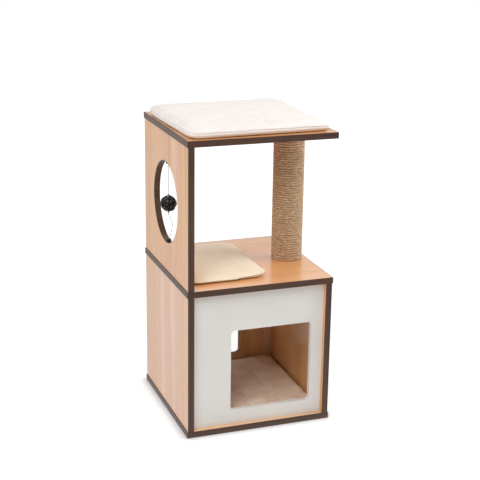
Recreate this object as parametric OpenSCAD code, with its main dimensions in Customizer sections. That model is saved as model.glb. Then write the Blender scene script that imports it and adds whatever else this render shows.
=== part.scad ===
// Cat condo: a box den with a door, an open bay with a porthole board and a sisal post,
// a top board with a cushion, and a ball toy strung across the porthole.
// Origin at the middle of the footprint, on the floor; +Z up, the door faces -Y. Millimetres.

/* [Case] */
// Overall width, left to right
case_w = 365; // [330:1:420]
// Overall depth, front to rear
case_d = 365; // [340:1:420]
// Thickness of the laminated boards
board_t = 15; // [14:0.5:19]
// Clear height of the den, base board to shelf board
den_h = 338; // [310:1:380]
// Clear height of the bay, shelf board to top board
bay_h = 338; // [310:1:400]
// Thickness of the dark edge bands
band_t = 2; // [1.2:0.1:3]
// Rounding of the outer edges of the bands
band_round = 1; // [0.4:0.1:1.1]

/* [Front panel] */
// Thickness of the white front panel
front_t = 12; // [9:0.5:16]
// How far the front panel stands back from the front of the case
front_recess = 15; // [4:0.5:30]
// Width of the door
door_w = 205; // [150:1:225]
// Height of the door
door_h = 205; // [150:1:240]
// Corner radius of the door
door_corner = 10; // [4:0.5:40]
// Distance from the middle of the case to the left edge of the door
door_left = 69.5; // [60:0.5:120]
// Height of the door sill over the base board
door_sill = 35; // [30:1:60]

/* [Back board] */
// Thickness of the back board
back_t = 15; // [9:0.5:19]
// How far the back board stands in from the rear of the case
back_inset = 2; // [0:0.5:12]
// Width of the back window
window_w = 203; // [120:1:225]
// Height of the back window
window_h = 203; // [120:1:240]
// Corner radius of the back window
window_corner = 10; // [4:0.5:40]
// Distance from the middle of the case to the right edge of the back window
window_right = 74.5; // [60:0.5:105]
// Height of the back window sill over the base board
window_sill = 33; // [30:1:60]
// Thickness of the lining bands of the window and the porthole
lining_t = 0.6; // [0.4:0.1:1.5]

/* [Porthole] */
// Diameter of the round hole in the upper side board
porthole_d = 200; // [140:1:220]

/* [Post] */
// Outer diameter of the post over its rope
post_d = 78; // [66:1:90]
// Thickness of the rope
rope_t = 6; // [5:0.5:9]
// Loops of the winding
rope_loops = 24; // [12:1:24]
// Distance from the right side of the case to the post's axis
post_right = 47.5; // [45:0.5:90]
// Wall of the cardboard tube
tube_wall = 3; // [2:0.5:5]
// Thickness of the plugs in the ends of the tube
plug_t = 20; // [18:1:30]
// Nominal diameter of the bolts that hold the post
post_bolt_d = 8; // [6:0.5:10]
// Length of those bolts under the head
post_bolt_len = 32; // [30:0.5:34]

/* [Cushions] */
// Gap from the left and right of the case to the top cushion
top_margin_side = 9; // [6:0.5:40]
// Gap from the front of the case to the top cushion
top_margin_front = 20.5; // [6:0.5:40]
// Gap from the rear of the case to the top cushion
top_margin_rear = 18; // [6:0.5:40]
// Height of the top cushion at its middle
top_cushion_h = 21.6; // [18:0.1:40]
// Corner radius of the top cushion
top_cushion_corner = 26; // [12:1:60]
// Width of the shelf cushion
shelf_cushion_w = 200; // [150:1:230]
// Depth of the shelf cushion
shelf_cushion_d = 288; // [220:1:320]
// Height of the shelf cushion at its middle
shelf_cushion_h = 10; // [9:0.1:20]
// Corner radius of the shelf cushion
shelf_cushion_corner = 28; // [12:1:60]
// Gap from the porthole board to the shelf cushion
shelf_cushion_gap = 2.5; // [1:0.5:20]
// Gap from the walls of the den to the den cushion
den_cushion_gap = 3; // [2:0.5:20]
// Height of the den cushion at its middle
den_cushion_h = 26; // [16:0.1:30]
// Corner radius of the den cushion
den_cushion_corner = 22; // [12:1:60]
// How far the sides of a cushion draw in between its corners
cushion_draw = 3; // [0:0.5:6]
// Thickness of one layer of the hook and loop tapes
tape_t = 1.2; // [0.8:0.1:2]
// Length of a tape
tape_len = 60; // [40:1:80]
// Width of a tape
tape_w = 20; // [16:1:30]

/* [Ball toy] */
// Diameter of the woven ball
ball_d = 40; // [30:0.5:50]
// Distance from the top of the porthole to the middle of the ball
ball_drop = 105; // [95:1:115]
// Diameter of the elastic cord
cord_d = 1.5; // [1:0.1:2]
// Diameter of the two anchors that hold the cord
anchor_d = 12; // [10.5:0.5:14]
// How far an anchor stands into the porthole
anchor_h = 6.5; // [6:0.5:10]
// Length of an anchor's shank in the board
shank_len = 12; // [8:0.5:20]
// Diameter of the stopper knots in the anchors
knot_d = 4.8; // [4:0.1:5.2]
// Diameter of the knots on either side of the ball
ball_knot_d = 4.4; // [3:0.1:6]

/* [Fittings] */
// Diameter of the wood dowels of the side boards
dowel_d = 8; // [6:0.5:8]
// Length of those dowels
dowel_len = 30; // [24:1:40]
// Diameter of the dowels of the front panel and the back board
small_dowel_d = 6; // [5:0.5:6]
// Length of those dowels
small_dowel_len = 24; // [20:1:36]
// Depth of a dowel in the face of a base, shelf or top board
dowel_seat = 9; // [7:0.5:10]
// Distance from the front and the rear of the case to the side dowels
dowel_y = 32.5; // [30.5:0.5:40.5]
// Distance from the left and the right of the case to the front and back dowels
dowel_x = 62.5; // [42.5:0.5:82.5]
// Distance from the front and the rear of the case to the cam fittings and base screws
cam_y = 72.5; // [64.5:0.5:76.5]
// How far the fittings under the porthole board are offset from those below the shelf
stagger = 24; // [20:1:26]
// Diameter of the cam discs
cam_d = 15; // [12:0.5:18]
// Distance from the end of a board to the axis of its cams
cam_back = 24; // [20:0.5:34]
// Diameter of the cam bolts' shanks
cam_bolt_d = 6.5; // [5:0.1:7]
// Diameter of the cam bolts' threads
cam_thread_d = 6; // [4:0.1:6]
// Length of the cam bolts' threads
cam_thread_len = 9; // [7:0.5:10]
// Diameter of the base screws' threads
screw_d = 5; // [4:0.1:6]
// Length of the base screws
screw_len = 50; // [40:1:60]

/* [Hidden] */
$fn = 64;

// Colours
wood_face = "#DDB592";
wood_plain = "#D9B588";
dark_band = "#55402F";
white_face = "#D9D5D0";
rope_tan = "#B08F66";
card_brown = "#B59A78";
steel_grey = "#A8A8A8";
brass_yellow = "#C8A850";
cushion_white = "#F5EDE6";
cushion_beige = "#E6D2B4";
foam_yellow = "#EFE6C4";
tape_grey = "#4A4644";
cord_grey = "#C9C6C0";
plastic_black = "#26231F";

// Clearances
fit = 0.1;
seat_gap = 0.1;
soft_gap = 0.3;
band_joint = 0.05;
overcut = 1;

// Case levels and faces
base_top = board_t;
shelf_bottom = base_top + den_h;
shelf_top = shelf_bottom + board_t;
top_bottom = shelf_top + bay_h;
top_top = top_bottom + board_t;
core_w = case_w - 2 * band_t;
core_d = case_d - 2 * band_t;
side_out = core_w / 2;
side_in = side_out - board_t;
side_mid = side_out - board_t / 2;
front_out = -case_d / 2 + front_recess;
front_in = front_out + front_t;
front_mid = front_out + front_t / 2;
back_out = case_d / 2 - back_inset;
back_in = back_out - back_t;
back_mid = back_out - back_t / 2;
inner_w = 2 * side_in;

// Door, window and porthole places
door_x = door_w / 2 - door_left;
door_z = base_top + door_sill + door_h / 2;
window_x = window_right - window_w / 2;
window_z = base_top + window_sill + window_h / 2;
porthole_r = porthole_d / 2;
porthole_z = shelf_top + bay_h / 2;
lining_r = porthole_r - lining_t;

// Post
post_x = case_w / 2 - post_right;
tube_r = post_d / 2 - rope_t;
tube_bore_r = tube_r - tube_wall;
plug_r = tube_bore_r - fit;
rope_steps = 18;
rope_sides = 6;
rope_in_r = (tube_r + soft_gap) / cos(180 / rope_steps);
rope_mid_r = (post_d / 2 + rope_in_r) / 2;
rope_half_depth = (post_d / 2 - rope_in_r) / 2 / cos(180 / rope_sides);
rope_gap = 0.6;
rope_span = bay_h - 2 * soft_gap;
rope_h = (rope_span - rope_gap * rope_loops) / (rope_loops + 1);
rope_pitch = rope_h + rope_gap;
rope_start_z = shelf_top + soft_gap + rope_h / 2;
rope_end_run = rope_t;
bolt_head_d = 1.75 * post_bolt_d;
bolt_head_h = 0.55 * post_bolt_d;
bolt_socket_d = 0.6 * post_bolt_d;
bolt_socket_depth = 0.35 * post_bolt_d;
washer_d = 2.25 * post_bolt_d;
washer_t = 1.6;
washer_play = 0.4;
washer_hole_d = post_bolt_d + washer_play;
insert_wall = 2;
insert_d = post_bolt_d + 2 * insert_wall;
insert_end = 4;
insert_len = plug_t - insert_end;
insert_bore_d = post_bolt_d + 2 * fit;
counterbore_play = 1;
counterbore_d = washer_d + 2 * counterbore_play;
counterbore_sink = 0.5;
counterbore_depth = washer_t + bolt_head_h + counterbore_sink;

// Cushions
tape_stack = 2 * tape_t;
top_cushion_w = case_w - 2 * top_margin_side;
top_cushion_d = case_d - top_margin_front - top_margin_rear;
top_cushion_y = (top_margin_front - top_margin_rear) / 2;
shelf_cushion_x = -side_in + shelf_cushion_gap + shelf_cushion_w / 2;
den_cushion_w = inner_w - 2 * den_cushion_gap;
den_cushion_d = back_in - front_in - 2 * den_cushion_gap;
den_cushion_y = (back_in + front_in) / 2;
arc_steps = 4;
side_steps = 7;
foam_inset = 24;
foam_floor = 1.2;
foam_share = 0.7;
foam_corner = 10;
tape_inset = 34;

// Ball toy
toy_x = -side_mid;
ball_r = ball_d / 2;
ball_z = porthole_z + porthole_r - ball_drop;
cord_r = cord_d / 2;
cord_bore_r = cord_r + fit;
anchor_r = anchor_d / 2;
anchor_seat = sqrt(pow(lining_r, 2) - pow(anchor_r, 2)) - seat_gap;
rim = 1;
knot_r = knot_d / 2;
knot_play = 0.35;
mouth_lip = 0.3;
mouth_r = knot_r - mouth_lip;
mouth_gap = 0.25;
flare_h = 1.9;
flare_w = 1.5;
lip_h = 0.4;
chamber_r = knot_r + knot_play;
shank_wall = 1.25;
shank_r = chamber_r + shank_wall;
knot_depth = anchor_h - flare_h - sqrt(pow(knot_r + mouth_gap, 2) - pow(mouth_r, 2));
pivot_z = porthole_z + anchor_seat - knot_depth;
low_knot_z = porthole_z - anchor_seat + knot_depth;
ball_knot_r = ball_knot_d / 2;
ball_knot_step = ball_r + soft_gap + ball_knot_r;
cord_top = pivot_z - knot_r - soft_gap;
cord_end = ball_z - ball_knot_step - ball_knot_r;
cord_sides = 8;
cord_rings = 30;

// Route of the slack stretch under the ball, from the ball down to the lower anchor
lower_route = [
    [-173, 0, 507], [-173, 0, 505.3], [-172.4, -1.1, 503], [-171, -3.7, 500], [-169.4, -6.7, 497],
    [-168.1, -9, 493.5], [-167.3, -10.4, 489], [-167, -11, 483], [-167.1, -10.8, 477],
    [-167.5, -10, 471], [-168.3, -8.7, 465], [-169.3, -6.8, 459], [-170.6, -4.4, 454],
    [-171.9, -2, 449.8], [-172.8, -0.4, 447], [-173, 0, 445.5], [-173, 0, 444]
];

// Fittings
dowel_hole_play = 0.5;
cam_floor = 2.5;
cap_t = 0.8;
cap_lip = 1;
cap_spigot = 0.8;
cam_depth = board_t - cam_floor;
cam_play = 0.4;
cam_t = cam_depth - cap_spigot - cam_play;
cam_bolt_reach = 3;
screw_head_d = 2 * screw_d;
screw_head_h = screw_d / 2;
screw_sink = 0.5;
screw_socket_d = 0.8 * screw_d;
screw_neck_step = 1;
screw_neck_d = screw_d + 2 * screw_neck_step;
side_dowel_y = case_d / 2 - dowel_y;
panel_dowel_x = case_w / 2 - dowel_x;
side_cam_y = case_d / 2 - cam_y;
upper_dowel_y = side_dowel_y - stagger;
upper_cam_y = side_cam_y - stagger;

// Cam seats: board middle, place along the depth, joint level, way into the board, way to its inner face
cam_seats = [
    for (y = [-side_cam_y, side_cam_y]) each [
        [-side_mid, y, shelf_bottom, -1, 1],
        [side_mid, y, shelf_bottom, -1, -1],
        [-side_mid, y, top_bottom, -1, 1]
    ],
    for (y = [-upper_cam_y, upper_cam_y]) [-side_mid, y, shelf_top, 1, 1]
];

// Dowel seats: place, joint level, way into the upright board
dowel_seats = [
    for (x = [-side_mid, side_mid], y = [-side_dowel_y, side_dowel_y]) each [
        [x, y, base_top, 1],
        [x, y, shelf_bottom, -1]
    ],
    for (y = [-side_dowel_y, side_dowel_y]) [-side_mid, y, top_bottom, -1],
    for (y = [-upper_dowel_y, upper_dowel_y]) [-side_mid, y, shelf_top, 1]
];
small_dowel_seats = [
    for (x = [-panel_dowel_x, panel_dowel_x], y = [front_mid, back_mid]) each [
        [x, y, base_top, 1],
        [x, y, shelf_bottom, -1]
    ]
];
screw_seats = [for (x = [-side_mid, side_mid], y = [-side_cam_y, 0, side_cam_y]) [x, y]];

// Tape places: place and level of the board that carries the pair
tape_seats = [
    for (sx = [-1, 1], sy = [-1, 1]) each [
        [sx * (top_cushion_w / 2 - tape_inset - tape_len / 2),
            top_cushion_y + sy * (top_cushion_d / 2 - tape_inset - tape_w / 2), top_top],
        [shelf_cushion_x + sx * (shelf_cushion_w / 2 - tape_inset - tape_len / 2),
            sy * (shelf_cushion_d / 2 - tape_inset - tape_w / 2), shelf_top],
        [sx * (den_cushion_w / 2 - tape_inset - tape_len / 2),
            den_cushion_y + sy * (den_cushion_d / 2 - tape_inset - tape_w / 2), base_top]
    ]
];

// Flat shapes
module box(from, to) {
    translate(from) cube(to - from);
}

module rounded_rect(w, h, r) {
    square([w - 2 * r, h], center = true);
    square([w, h - 2 * r], center = true);
    for (sx = [-1, 1], sy = [-1, 1])
        translate([sx * (w / 2 - r), sy * (h / 2 - r)]) circle(r = r);
}

// A slab that stands up in the X-Z plane, from y0 to y1
module upright_slab(x, z, w, h, r, y0, y1) {
    translate([x, y1, z])
        rotate([90, 0, 0])
            linear_extrude(y1 - y0) rounded_rect(w, h, r);
}

// Section of an edge band: its outer edges are rounded, its back is flat at zero
module band_section(t, w) {
    square([t - band_round, w]);
    translate([0, band_round]) square([t, w - 2 * band_round]);
    for (y = [band_round, w - band_round])
        translate([t - band_round, y]) circle(r = band_round);
}

// Four strips around a horizontal board at level z
module board_band(z) {
    for (s = [0, 1]) rotate([0, 0, 180 * s]) {
        translate([-case_w / 2, -core_d / 2, z])
            rotate([90, 0, 90])
                mirror([1, 0, 0])
                    linear_extrude(case_w) band_section(band_t, board_t);
        translate([core_w / 2, core_d / 2 - band_joint, z])
            rotate([90, 0, 0])
                linear_extrude(core_d - 2 * band_joint) band_section(band_t, board_t);
    }
}

// Front and rear strips of an upright side board whose middle is at x
module upright_bands(x, z, h) {
    for (s = [0, 1]) translate([x, 0, z]) rotate([0, 0, 180 * s])
        translate([board_t / 2, core_d / 2, 0])
            rotate([0, 0, 90])
                linear_extrude(h) band_section(band_t, board_t);
}

// Bores for the fittings
module dowel_bores(seats, d, len) {
    for (p = seats)
        translate([p[0], p[1], p[2] - p[3] * (dowel_seat + dowel_hole_play)])
            mirror([0, 0, p[3] < 0 ? 1 : 0])
                cylinder(d = d + 2 * fit, h = len + 2 * dowel_hole_play);
}

module cam_bores() {
    for (p = cam_seats) {
        translate([p[0] + p[4] * board_t / 2, p[1], p[2] + p[3] * cam_back])
            rotate([0, -90 * p[4], 0])
                translate([0, 0, -overcut])
                    cylinder(d = cam_d + 2 * fit, h = cam_depth + overcut);
        translate([p[0], p[1], p[2]])
            mirror([0, 0, p[3] < 0 ? 1 : 0]) {
                cylinder(d = cam_bolt_d + 2 * fit, h = cam_back);
                translate([0, 0, -cam_thread_len - dowel_hole_play])
                    cylinder(d = cam_thread_d + 2 * fit, h = cam_thread_len + dowel_hole_play + overcut);
            }
    }
}

module screw_bores() {
    for (p = screw_seats) translate([p[0], p[1], 0]) {
        translate([0, 0, -overcut]) cylinder(d = screw_head_d + 2 * fit, h = overcut + screw_sink);
        translate([0, 0, screw_sink])
            cylinder(d1 = screw_head_d + 2 * fit, d2 = screw_neck_d + 2 * fit, h = screw_head_h);
        cylinder(d = screw_neck_d + 2 * fit, h = base_top);
        cylinder(d = screw_d + 2 * fit, h = screw_len + fit);
    }
}

module shank_bores() {
    for (s = [-1, 1]) translate([toy_x, 0, porthole_z + s * anchor_seat])
        mirror([0, 0, s < 0 ? 1 : 0])
            translate([0, 0, -anchor_h]) cylinder(r = shank_r + fit, h = anchor_h + shank_len + fit);
}

// Boards
module horizontal_board(z) {
    box([-core_w / 2, -core_d / 2, z], [core_w / 2, core_d / 2, z + board_t]);
}

module upright_board(x, z, h) {
    box([x - board_t / 2, -core_d / 2, z], [x + board_t / 2, core_d / 2, z + h]);
}

module base_board() {
    color(wood_face) difference() {
        horizontal_board(0);
        dowel_bores(dowel_seats, dowel_d, dowel_len);
        dowel_bores(small_dowel_seats, small_dowel_d, small_dowel_len);
        screw_bores();
    }
}

module base_edge_band() {
    color(dark_band) board_band(0);
}

module lower_side_board(x) {
    color(wood_face) difference() {
        upright_board(x, base_top, den_h);
        dowel_bores(dowel_seats, dowel_d, dowel_len);
        cam_bores();
        screw_bores();
    }
}

module left_side_board() {
    lower_side_board(-side_mid);
}

module left_side_edge_bands() {
    color(dark_band) upright_bands(-side_mid, base_top, den_h);
}

module right_side_board() {
    lower_side_board(side_mid);
}

module right_side_edge_bands() {
    color(dark_band) upright_bands(side_mid, base_top, den_h);
}

module front_panel() {
    color(white_face) difference() {
        box([-side_in, front_out, base_top], [side_in, front_in, shelf_bottom]);
        upright_slab(door_x, door_z, door_w, door_h, door_corner, front_out - overcut, front_in + overcut);
        dowel_bores(small_dowel_seats, small_dowel_d, small_dowel_len);
    }
}

module back_board() {
    color(wood_face) difference() {
        box([-side_in, back_in, base_top], [side_in, back_out, shelf_bottom]);
        upright_slab(window_x, window_z, window_w, window_h, window_corner, back_in - overcut,
            back_out + overcut);
        dowel_bores(small_dowel_seats, small_dowel_d, small_dowel_len);
    }
}

module back_window_lining() {
    color(dark_band) difference() {
        upright_slab(window_x, window_z, window_w, window_h, window_corner, back_in, back_out);
        upright_slab(window_x, window_z, window_w - 2 * lining_t, window_h - 2 * lining_t,
            window_corner - lining_t, back_in - overcut, back_out + overcut);
    }
}

module shelf_board() {
    color(wood_face) difference() {
        horizontal_board(shelf_bottom);
        dowel_bores(dowel_seats, dowel_d, dowel_len);
        dowel_bores(small_dowel_seats, small_dowel_d, small_dowel_len);
        cam_bores();
        translate([post_x, 0, shelf_bottom - overcut]) cylinder(d = washer_hole_d, h = board_t + 2 * overcut);
    }
}

module shelf_edge_band() {
    color(dark_band) board_band(shelf_bottom);
}

module porthole_cut(r) {
    translate([-side_out - overcut, 0, porthole_z])
        rotate([0, 90, 0])
            cylinder(r = r, h = board_t + 2 * overcut, $fn = 128);
}

module upper_side_board() {
    color(wood_face) difference() {
        upright_board(-side_mid, shelf_top, bay_h);
        porthole_cut(porthole_r);
        dowel_bores(dowel_seats, dowel_d, dowel_len);
        cam_bores();
        shank_bores();
    }
}

module upper_side_edge_bands() {
    color(dark_band) upright_bands(-side_mid, shelf_top, bay_h);
}

module porthole_lining() {
    color(dark_band) difference() {
        translate([-side_out, 0, porthole_z])
            rotate([0, 90, 0])
                cylinder(r = porthole_r, h = board_t, $fn = 128);
        porthole_cut(lining_r);
        shank_bores();
    }
}

module top_board() {
    color(wood_face) difference() {
        horizontal_board(top_bottom);
        dowel_bores(dowel_seats, dowel_d, dowel_len);
        cam_bores();
        translate([post_x, 0, top_bottom - overcut]) cylinder(d = washer_hole_d, h = board_t + 2 * overcut);
        translate([post_x, 0, top_top - counterbore_depth])
            cylinder(d = counterbore_d, h = counterbore_depth + overcut);
    }
}

module top_edge_band() {
    color(dark_band) board_band(top_bottom);
}

// Post
module post_tube() {
    color(card_brown) translate([post_x, 0, shelf_top]) difference() {
        cylinder(r = tube_r, h = bay_h);
        translate([0, 0, -overcut]) cylinder(r = tube_bore_r, h = bay_h + 2 * overcut);
    }
}

module post_plug(z) {
    color(wood_plain) translate([post_x, 0, z]) difference() {
        cylinder(r = plug_r, h = plug_t);
        translate([0, 0, -overcut]) cylinder(d = insert_d + 2 * fit, h = plug_t + 2 * overcut);
    }
}

module post_bottom_plug() {
    post_plug(shelf_top);
}

module post_top_plug() {
    post_plug(top_bottom - plug_t);
}

// Places the bottom bolt set, and the top one upside down in its counterbore
module post_bolt_places() {
    translate([post_x, 0, shelf_bottom]) children();
    translate([post_x, 0, top_top - counterbore_depth]) mirror([0, 0, 1]) children();
}

module post_bolts() {
    color(steel_grey) post_bolt_places() difference() {
        translate([0, 0, -washer_t]) union() {
            translate([0, 0, -bolt_head_h]) cylinder(d = bolt_head_d, h = bolt_head_h);
            cylinder(d = post_bolt_d, h = post_bolt_len);
        }
        translate([0, 0, -washer_t - bolt_head_h - overcut])
            cylinder(d = bolt_socket_d, h = bolt_socket_depth + overcut, $fn = 6);
    }
}

module post_washers() {
    color(steel_grey) post_bolt_places() translate([0, 0, -washer_t]) difference() {
        cylinder(d = washer_d, h = washer_t);
        translate([0, 0, -overcut]) cylinder(d = washer_hole_d, h = washer_t + 2 * overcut);
    }
}

module insert_nut() {
    difference() {
        cylinder(d = insert_d, h = insert_len);
        translate([0, 0, -overcut]) cylinder(d = insert_bore_d, h = insert_len + 2 * overcut);
    }
}

module post_insert_nuts() {
    color(brass_yellow) translate([post_x, 0, 0]) {
        translate([0, 0, shelf_top]) insert_nut();
        translate([0, 0, top_bottom]) mirror([0, 0, 1]) insert_nut();
    }
}

// Tubes swept along a route: rings of points, then triangles between them
function tube_faces(rings, sides) = [
    for (i = [0 : rings - 2], j = [0 : sides - 1])
        let (k = (j + 1) % sides, a = i * sides, b = a + sides)
            each [[a + j, b + j, b + k], [a + j, b + k, a + k]],
    for (j = [1 : sides - 2]) [0, j, j + 1],
    for (j = [1 : sides - 2])
        let (a = (rings - 1) * sides)
            [a, a + j + 1, a + j]
];

// One ring of the winding: a flattened section at angle q, run on straight past either end
function rope_ring(q) =
    let (
        full = 360 * rope_loops,
        at = max(0, min(full, q)),
        past = (q - at) * PI / 180 * rope_mid_r,
        rise = rope_pitch / 360 * at
    )
    [for (j = [0 : rope_sides - 1])
        let (
            s = 360 / rope_sides * (j + 0.5),
            r = rope_mid_r + rope_half_depth * cos(s)
        )
        [r * cos(at) - past * sin(at), r * sin(at) + past * cos(at), rise + rope_h / 2 * sin(s)]
    ];

rope_step = 360 / rope_steps;
rope_end_angle = rope_end_run / rope_mid_r * 180 / PI;
rope_angles = [
    -rope_end_angle,
    for (i = [0 : rope_loops * rope_steps]) i * rope_step,
    360 * rope_loops + rope_end_angle
];

// Least distance between the points of a turn and those of the next one
function turn_gap(q) = min([
    for (p = rope_ring(q), near = [-1, 0, 1], o = rope_ring(q + 360 + near * rope_step)) norm(p - o)
]);

module sisal_rope() {
    echo(least_gap_between_turns = min([for (q = rope_angles) if (q < 360 * (rope_loops - 1)) turn_gap(q)]));
    color(rope_tan) translate([post_x, 0, rope_start_z])
        polyhedron(
            points = [for (q = rope_angles) each rope_ring(q)],
            faces = tube_faces(len(rope_angles), rope_sides)
        );
}

// Fittings
module cam_discs() {
    color(steel_grey) for (p = cam_seats)
        translate([p[0] + p[4] * board_t / 2, p[1], p[2] + p[3] * cam_back])
            rotate([0, -90 * p[4], 0])
                translate([0, 0, cap_spigot])
                    difference() {
                        cylinder(d = cam_d, h = cam_t);
                        translate([0, 0, board_t / 2 - cap_spigot])
                            rotate([0, p[3] * p[4] > 0 ? -90 : 90, 0])
                                translate([0, 0, -cam_bolt_reach - fit])
                                    cylinder(d = cam_bolt_d + 4 * fit, h = cam_d);
                    }
}

module cam_bolts() {
    color(steel_grey) for (p = cam_seats)
        translate([p[0], p[1], p[2]])
            mirror([0, 0, p[3] < 0 ? 1 : 0]) {
                translate([0, 0, -cam_thread_len]) cylinder(d = cam_thread_d, h = cam_thread_len + overcut);
                cylinder(d = cam_bolt_d, h = cam_back);
            }
}

module cam_caps() {
    color(wood_plain) for (p = cam_seats)
        translate([p[0] + p[4] * board_t / 2, p[1], p[2] + p[3] * cam_back])
            rotate([0, 90 * p[4], 0]) {
                cylinder(d = cam_d + 2 * cap_lip, h = cap_t);
                translate([0, 0, fit - cap_spigot]) cylinder(d = cam_d, h = cap_spigot);
            }
}

module dowels(seats, d, len) {
    color(wood_plain) for (p = seats)
        translate([p[0], p[1], p[2] - p[3] * dowel_seat])
            mirror([0, 0, p[3] < 0 ? 1 : 0])
                cylinder(d = d, h = len);
}

module wood_dowels() {
    dowels(dowel_seats, dowel_d, dowel_len);
}

module small_dowels() {
    dowels(small_dowel_seats, small_dowel_d, small_dowel_len);
}

module base_screws() {
    color(steel_grey) for (p = screw_seats) translate([p[0], p[1], 0]) difference() {
        translate([0, 0, screw_sink]) union() {
            cylinder(d1 = screw_head_d, d2 = screw_neck_d, h = screw_head_h);
            cylinder(d = screw_neck_d, h = base_top - screw_sink);
            cylinder(d = screw_d, h = screw_len - screw_sink);
        }
        translate([0, 0, screw_sink - overcut])
            cylinder(d = screw_socket_d, h = screw_head_h + overcut, $fn = 6);
    }
}

// Cushions: an outline with round corners and drawn-in sides, lofted through a crowned profile
function corner_sign(q) = [q == 0 || q == 3 ? 1 : -1, q < 2 ? 1 : -1];

function cushion_outline(w, d, r) = [
    for (q = [0 : 3])
        let (
            c = [corner_sign(q).x * (w / 2 - r), corner_sign(q).y * (d / 2 - r)],
            n = corner_sign((q + 1) % 4),
            next = [n.x * (w / 2 - r), n.y * (d / 2 - r)],
            out = [cos(90 * q + 90), sin(90 * q + 90)]
        )
        each [
            for (a = [0 : arc_steps])
                c + r * [cos(90 * (q + a / arc_steps)), sin(90 * (q + a / arc_steps))],
            for (k = [1 : side_steps])
                let (s = k / (side_steps + 1))
                    c + (next - c) * s + out * (r - cushion_draw * 4 * s * (1 - s))
        ]
];

// Profile rows: share of the outline, share of the height
cushion_profile = [
    [0.955, 0], [0.985, 0.06], [0.997, 0.25], [1, 0.5], [0.995, 0.66], [0.975, 0.78], [0.9, 0.88],
    [0.7, 0.96], [0.4, 0.99]
];

module cushion_form(w, d, r, h) {
    outline = cushion_outline(w, d, r);
    n = len(outline);
    rows = len(cushion_profile);
    last = (rows - 1) * n;
    polyhedron(
        points = [
            for (row = cushion_profile, p = outline) [p.x * row[0], p.y * row[0], h * row[1]],
            [0, 0, 0],
            [0, 0, h]
        ],
        faces = [
            for (i = [0 : rows - 2], j = [0 : n - 1])
                let (k = (j + 1) % n, a = i * n, b = a + n)
                    each [[a + j, b + j, b + k], [a + j, b + k, a + k]],
            for (j = [0 : n - 1])
                let (k = (j + 1) % n)
                    each [[rows * n, j, k], [rows * n + 1, last + k, last + j]]
        ]
    );
}

// The foam slab inside, as large as the flat middle of the cover allows
module foam_slab(w, d, h, play) {
    translate([0, 0, foam_floor - play])
        linear_extrude(h * foam_share - foam_floor + 2 * play)
            rounded_rect(w - 2 * foam_inset + 2 * play, d - 2 * foam_inset + 2 * play, foam_corner + play);
}

module cushion_cover(w, d, r, h) {
    difference() {
        cushion_form(w, d, r, h);
        foam_slab(w, d, h, soft_gap);
    }
}

module top_cushion_place() {
    translate([0, top_cushion_y, top_top + tape_stack]) children();
}

module top_cushion() {
    color(cushion_white) top_cushion_place()
        cushion_cover(top_cushion_w, top_cushion_d, top_cushion_corner, top_cushion_h);
}

module top_cushion_foam() {
    color(foam_yellow) top_cushion_place() foam_slab(top_cushion_w, top_cushion_d, top_cushion_h, 0);
}

module shelf_cushion_place() {
    translate([shelf_cushion_x, 0, shelf_top + tape_stack]) children();
}

module shelf_cushion() {
    color(cushion_beige) shelf_cushion_place()
        cushion_cover(shelf_cushion_w, shelf_cushion_d, shelf_cushion_corner, shelf_cushion_h);
}

module shelf_cushion_foam() {
    color(foam_yellow) shelf_cushion_place() foam_slab(shelf_cushion_w, shelf_cushion_d, shelf_cushion_h, 0);
}

module den_cushion_place() {
    translate([0, den_cushion_y, base_top + tape_stack]) children();
}

module den_cushion() {
    color(cushion_beige) den_cushion_place()
        cushion_cover(den_cushion_w, den_cushion_d, den_cushion_corner, den_cushion_h);
}

module den_cushion_foam() {
    color(foam_yellow) den_cushion_place() foam_slab(den_cushion_w, den_cushion_d, den_cushion_h, 0);
}

module tapes(lift) {
    color(tape_grey) for (p = tape_seats)
        translate([p[0] - tape_len / 2, p[1] - tape_w / 2, p[2] + lift]) cube([tape_len, tape_w, tape_t]);
}

module hook_tapes() {
    tapes(0);
}

module loop_tapes() {
    tapes(tape_t);
}

// Ball toy
module cord_anchor() {
    rotate_extrude() polygon([
        [chamber_r, -shank_len], [shank_r, -shank_len], [shank_r, 0], [anchor_r, 0],
        [anchor_r, anchor_h - rim], [anchor_r - rim, anchor_h], [mouth_r + flare_w, anchor_h],
        [mouth_r, anchor_h - flare_h], [chamber_r, anchor_h - flare_h - lip_h]
    ]);
}

module top_cord_anchor() {
    color(plastic_black) translate([toy_x, 0, porthole_z + anchor_seat]) mirror([0, 0, 1]) cord_anchor();
}

module bottom_cord_anchor() {
    color(plastic_black) translate([toy_x, 0, porthole_z - anchor_seat]) cord_anchor();
}

module top_stopper_knot() {
    color(cord_grey) translate([toy_x, 0, pivot_z]) sphere(r = knot_r);
}

module bottom_stopper_knot() {
    color(cord_grey) translate([toy_x, 0, low_knot_z]) sphere(r = knot_r);
}

function unit(v) = v / norm(v);

// Direction of a route at point i
function heading(route, i) = unit(route[min(i + 1, len(route) - 1)] - route[max(i - 1, 0)]);

// One ring of a cord, square to its heading
function cord_ring(p, t) =
    let (u = unit(cross(t, [0, 1, 0])), v = cross(t, u))
    [for (j = [0 : cord_sides - 1])
        p + cord_r * (u * cos(360 / cord_sides * j) + v * sin(360 / cord_sides * j))
    ];

module cord_tube(route) {
    polyhedron(
        points = [for (i = [0 : len(route) - 1]) each cord_ring(route[i], heading(route, i))],
        faces = tube_faces(len(route), cord_sides)
    );
}

module upper_cord() {
    color(cord_grey) cord_tube([
        for (i = [0 : cord_rings - 1]) [toy_x, 0, cord_top + (cord_end - cord_top) * i / (cord_rings - 1)]
    ]);
}

module lower_cord() {
    color(cord_grey) cord_tube(lower_route);
}

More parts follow.
